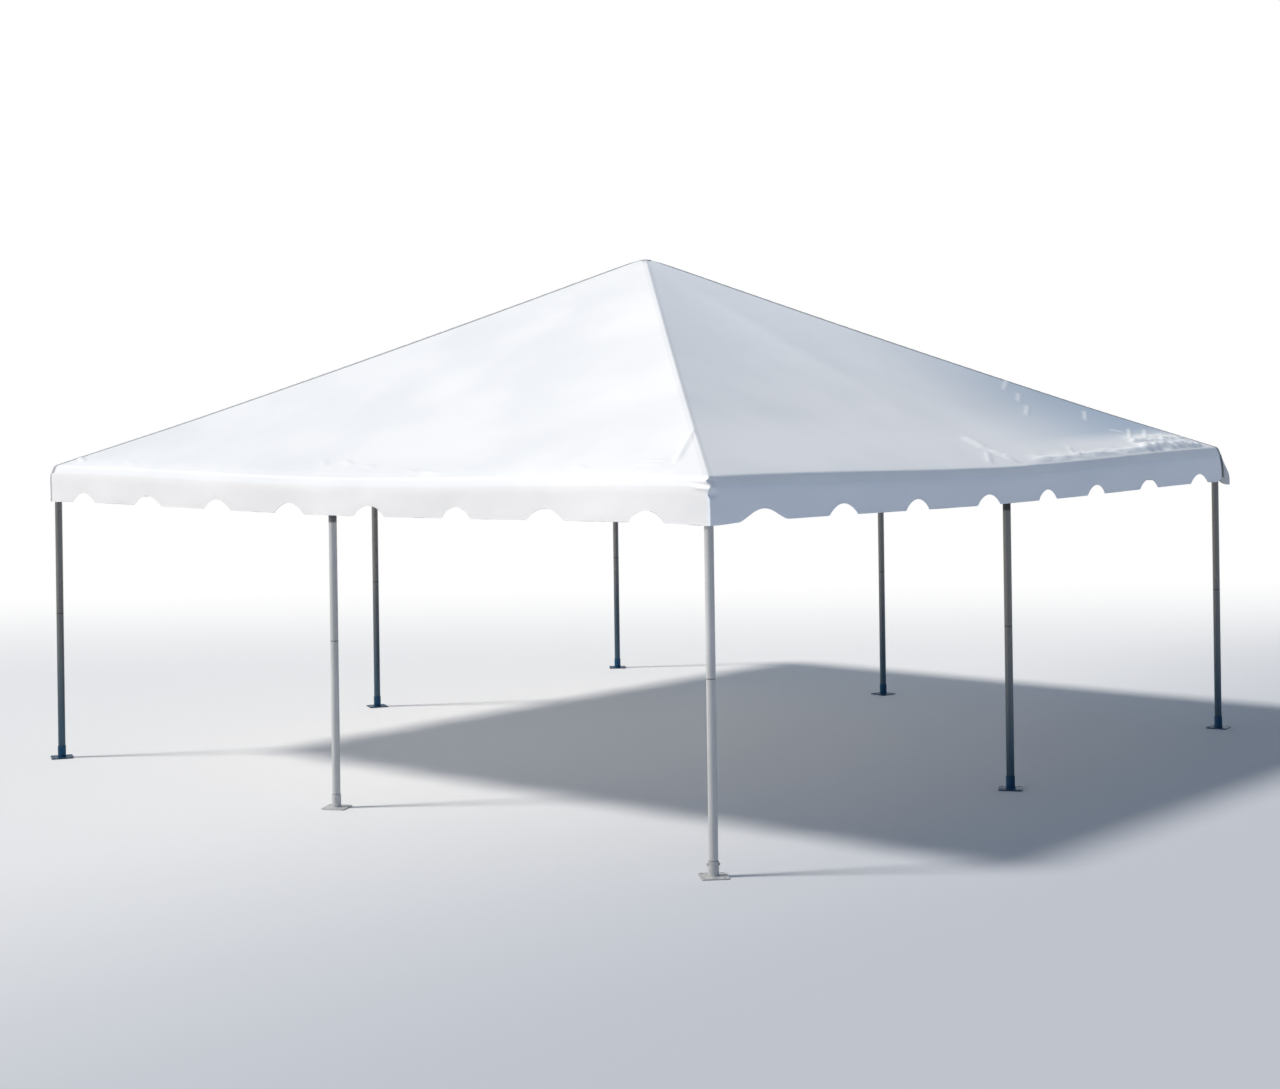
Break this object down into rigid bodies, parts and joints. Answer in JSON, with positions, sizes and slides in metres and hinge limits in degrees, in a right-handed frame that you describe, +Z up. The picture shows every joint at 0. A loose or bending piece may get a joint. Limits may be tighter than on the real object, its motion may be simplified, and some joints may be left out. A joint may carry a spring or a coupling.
{
  "type": "frame tent",
  "caption": "Square white frame tent with a pyramid roof, a scalloped valance and aluminium pipe legs on foot plates.",
  "frame": {"origin": "on the ground at the centre of the tent, under the peak", "axes": "+Z up to the peak, -Y out of the front, +X out of the right-hand side"},
  "size_m": [6.2348, 6.2348, 3.56],
  "materials": {
    "canopy": "smooth coated white vinyl, soft sheen",
    "valance": "smooth coated white vinyl, soft sheen",
    "pipe": "mill finish, lightly handled",
    "galvanised": "dull zinc coating"
  },
  "bodies": {
    "root": {"foot_plate_front_left": "galvanised", "foot_plate_front_right": "galvanised", "foot_plate_back_right": "galvanised", "foot_plate_back_left": "galvanised", "foot_plate_front_mid": "galvanised", "foot_plate_right_mid": "galvanised", "foot_plate_back_mid": "galvanised", "foot_plate_left_mid": "galvanised", "leg_lower_front_left": "pipe", "leg_lower_front_right": "pipe", "leg_lower_back_right": "pipe", "leg_lower_back_left": "pipe", "leg_lower_front_mid": "pipe", "leg_lower_right_mid": "pipe", "leg_lower_back_mid": "pipe", "leg_lower_left_mid": "pipe", "leg_upper_front_left": "pipe", "leg_upper_front_right": "pipe", "leg_upper_back_right": "pipe", "leg_upper_back_left": "pipe", "leg_upper_front_mid": "pipe", "leg_upper_right_mid": "pipe", "leg_upper_back_mid": "pipe", "leg_upper_left_mid": "pipe", "corner_fitting_front_left": "galvanised", "corner_fitting_front_right": "galvanised", "corner_fitting_back_right": "galvanised", "corner_fitting_back_left": "galvanised", "side_fitting_front": "galvanised", "side_fitting_right": "galvanised", "side_fitting_back": "galvanised", "side_fitting_left": "galvanised", "crown_fitting": "galvanised", "eave_pipe_front_left": "pipe", "eave_pipe_front_right": "pipe", "eave_pipe_right_front": "pipe", "eave_pipe_right_back": "pipe", "eave_pipe_back_right": "pipe", "eave_pipe_back_left": "pipe", "eave_pipe_left_back": "pipe", "eave_pipe_left_front": "pipe", "hip_rafter_front_left": "pipe", "hip_rafter_front_right": "pipe", "hip_rafter_back_right": "pipe", "hip_rafter_back_left": "pipe", "side_rafter_front": "pipe", "side_rafter_right": "pipe", "side_rafter_back": "pipe", "side_rafter_left": "pipe", "roof_panel_front": "canopy", "roof_panel_right": "canopy", "roof_panel_back": "canopy", "roof_panel_left": "canopy", "valance_front": "valance", "valance_right": "valance", "valance_back": "valance", "valance_left": "valance"}
  },
  "joints": []
}
